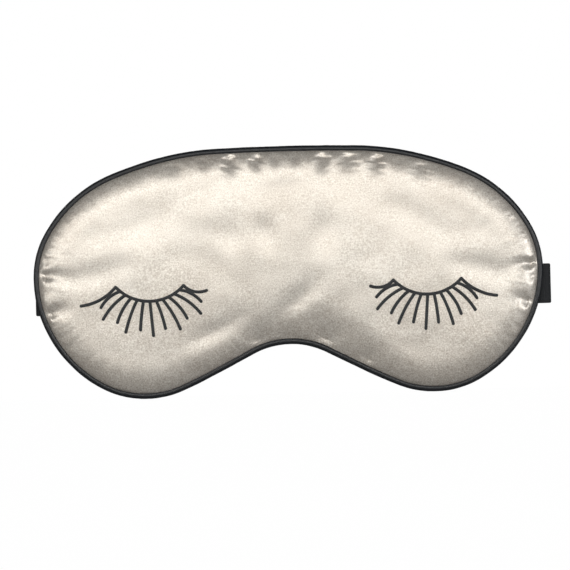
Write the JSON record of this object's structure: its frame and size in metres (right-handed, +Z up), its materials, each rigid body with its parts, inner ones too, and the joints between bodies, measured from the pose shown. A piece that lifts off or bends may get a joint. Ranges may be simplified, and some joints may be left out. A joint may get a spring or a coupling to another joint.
{
  "type": "sleep eye mask",
  "caption": "Padded satin sleep mask with black piping, printed closed-eye lashes and an adjustable elastic strap.",
  "frame": {"origin": "middle of the face side of the mask, on the line between the strap's two ends", "axes": "+X to the right of someone who looks at the mask's front, +Y towards the wearer, +Z up as it is worn"},
  "size_m": [0.2083, 0.1003, 0.1006],
  "materials": {
    "satin": "champagne satin",
    "black_satin": "black bias satin",
    "cotton_cord": "white cotton filler cord",
    "wadding": "white polyester wadding",
    "liner": "black light-blocking cloth",
    "elastic": "black woven elastic",
    "print": "black transfer film",
    "thread": "black polyester thread",
    "hardware": "black moulded plastic"
  },
  "bodies": {
    "mask": {"front_panel": "satin", "back_panel": "satin", "front_wadding": "wadding", "back_wadding": "wadding", "light_block_liner": "liner", "piping_cord": "cotton_cord", "piping_cover": "black_satin", "left_lash_print": "print", "right_lash_print": "print", "left_strap_anchor": "elastic", "right_strap_anchor": "elastic"},
    "strap": {"left_strap_twist": "elastic", "right_strap_twist": "elastic", "strap_run": "elastic", "strap_return_run": "elastic", "strap_right_tab": "elastic", "tab_bartack": "thread"},
    "slider": {"slider_frame": "hardware", "strap_end_loop": "elastic", "end_bartack": "thread"},
    "ring": {"ring": "hardware"}
  },
  "joints": [
    {"name": "strap_swing", "type": "hinge", "parent": "mask", "child": "strap", "pos_m": [0, 0.01, 0], "axis": [1, 0, 0], "range_deg": [-80, 80], "deforming": ["left_strap_twist", "right_strap_twist"]},
    {"name": "slider_travel", "type": "slide", "parent": "strap", "child": "slider", "axis": [1, 0, 0], "range_m": [0, 0.042], "deforming": ["strap_return_run"]},
    {"name": "ring_tilt", "type": "hinge", "parent": "strap", "child": "ring", "pos_m": [0.032, 0.08595, 0], "axis": [0, 0, 1], "range_deg": [-6, 6]}
  ]
}
